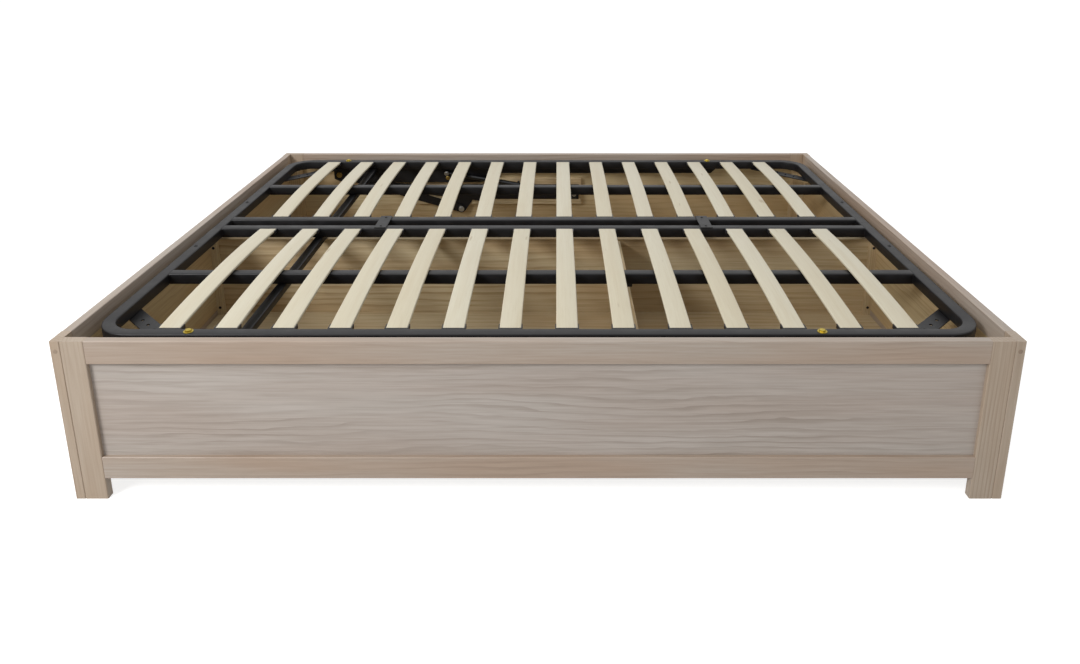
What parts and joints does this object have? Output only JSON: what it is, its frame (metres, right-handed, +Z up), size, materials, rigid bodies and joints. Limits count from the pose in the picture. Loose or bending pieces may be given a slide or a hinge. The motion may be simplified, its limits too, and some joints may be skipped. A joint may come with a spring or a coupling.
{
  "type": "storage bed base",
  "caption": "Double storage bed base: a frame-and-panel pine box on feet, with a lift-up steel frame of crowned wooden slats on links and gas struts over divided floor storage.",
  "frame": {"origin": "on the floor, under the middle of the box", "axes": "X along the bed from head to foot, Y across it from the near side to the far side, Z up"},
  "size_m": [2.12, 1.65, 0.396],
  "materials": {
    "stained_pine": "washed grey-brown stain, satin",
    "raw_pine": "bare, planed",
    "plywood": "bare, sanded",
    "slat_beech": "clear satin",
    "black_steel": "black powder coat",
    "black_plastic": "matte",
    "grey_steel": "satin grey",
    "rod_steel": "ground and polished"
  },
  "bodies": {
    "box": {"front_stile_left": "stained_pine", "front_stile_right": "stained_pine", "front_bottom_rail": "stained_pine", "front_top_rail": "stained_pine", "front_field_panel": "stained_pine", "back_stile_left": "stained_pine", "back_stile_right": "stained_pine", "back_bottom_rail": "stained_pine", "back_top_rail": "stained_pine", "back_field_panel": "stained_pine", "foot_stile_left": "stained_pine", "foot_stile_right": "stained_pine", "foot_bottom_rail": "stained_pine", "foot_top_rail": "stained_pine", "foot_field_panel": "stained_pine", "head_stile_left": "stained_pine", "head_stile_right": "stained_pine", "head_bottom_rail": "stained_pine", "head_top_rail": "stained_pine", "head_field_panel": "stained_pine", "corner_posts": "raw_pine", "floor_cleats": "raw_pine", "floor_joist": "raw_pine", "floor_front": "plywood", "floor_back": "plywood", "centre_partition": "plywood", "partition_battens": "raw_pine", "cross_divider": "plywood", "mounting_board_front": "raw_pine", "mounting_board_back": "raw_pine", "base_plate_front": "black_steel", "base_plate_back": "black_steel"},
    "slat_frame": {"frame_tube_front": "black_steel", "frame_tube_back": "black_steel", "splice_sleeves": "black_steel", "centre_rail_front": "black_steel", "centre_rail_back": "black_steel", "mid_rail_front": "black_steel", "mid_rail_back": "black_steel", "bridge_plates": "black_steel", "corner_gussets": "black_steel", "tie_bar_head": "black_steel", "tie_bar_middle": "black_steel", "slats_front_row": "slat_beech", "slats_back_row": "slat_beech", "slat_holders_front_row": "black_plastic", "slat_holders_back_row": "black_plastic", "lift_bracket_front": "black_steel", "lift_bracket_back": "black_steel"},
    "long_links": {"long_link_front": "black_steel", "long_link_back": "black_steel"},
    "short_links": {"short_link_front": "black_steel", "short_link_back": "black_steel"},
    "strut_cylinders": {"strut_cylinder_front": "grey_steel", "strut_cylinder_back": "grey_steel"},
    "strut_rods": {"strut_rod_front": "rod_steel", "strut_rod_back": "rod_steel"}
  },
  "joints": [
    {"name": "lift", "type": "hinge", "parent": "box", "child": "long_links", "pos_m": [-0.348, 0, 0.175], "axis": [0, 1, 0], "range_deg": [0, 55]},
    {"name": "frame_tilt", "type": "hinge", "parent": "long_links", "child": "slat_frame", "pos_m": [-0.834, 0, 0.321], "axis": [0, 1, 0], "range_deg": [-79, 0]},
    {"name": "short_link_turn", "type": "hinge", "parent": "box", "child": "short_links", "pos_m": [-0.259, 0, 0.225], "axis": [0, 1, 0], "range_deg": [0, 66.5]},
    {"name": "strut_swing", "type": "hinge", "parent": "slat_frame", "child": "strut_cylinders", "pos_m": [-0.4, 0, 0.333], "axis": [0, 1, 0], "range_deg": [0, 83.6]},
    {"name": "strut_slide", "type": "slide", "parent": "strut_cylinders", "child": "strut_rods", "axis": [0.9854, 0, -0.17], "range_m": [0, 0.123]}
  ],
  "couplings": [
    {"joint": "frame_tilt", "follows": "lift", "ratio": -1.4364},
    {"joint": "short_link_turn", "follows": "lift", "ratio": 1.209},
    {"joint": "strut_swing", "follows": "lift", "ratio": 1.5198},
    {"joint": "strut_slide", "follows": "lift", "m_per_rad": 0.12803}
  ]
}
